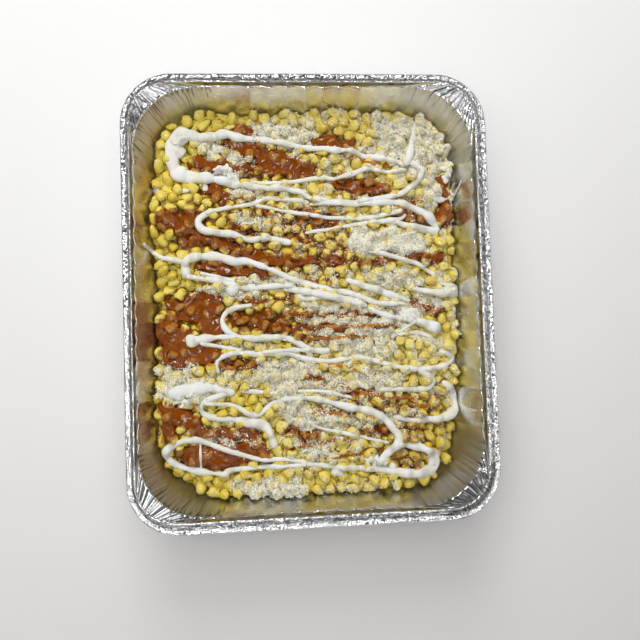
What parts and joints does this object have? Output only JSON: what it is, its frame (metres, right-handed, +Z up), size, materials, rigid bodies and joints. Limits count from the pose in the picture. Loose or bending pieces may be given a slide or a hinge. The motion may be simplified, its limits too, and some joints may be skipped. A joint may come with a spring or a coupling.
{
  "type": "pan of dressed corn kernels",
  "caption": "Rectangular foil steam-table pan with a rolled rim and pleated corners, filled with loose corn kernels under thin ribbons of crema.",
  "frame": {"origin": "under the middle of the pan's flat base, on the surface that it stands on", "axes": "+Z up, +Y along the pan's length, +X across it"},
  "size_m": [0.264, 0.324, 0.065],
  "materials": {
    "foil": "bright rolled foil, crinkled at the corners",
    "corn": "moist, soft gloss"
  },
  "bodies": {
    "root": {"foil_pan": "foil", "corn_heap": "corn"}
  },
  "joints": []
}
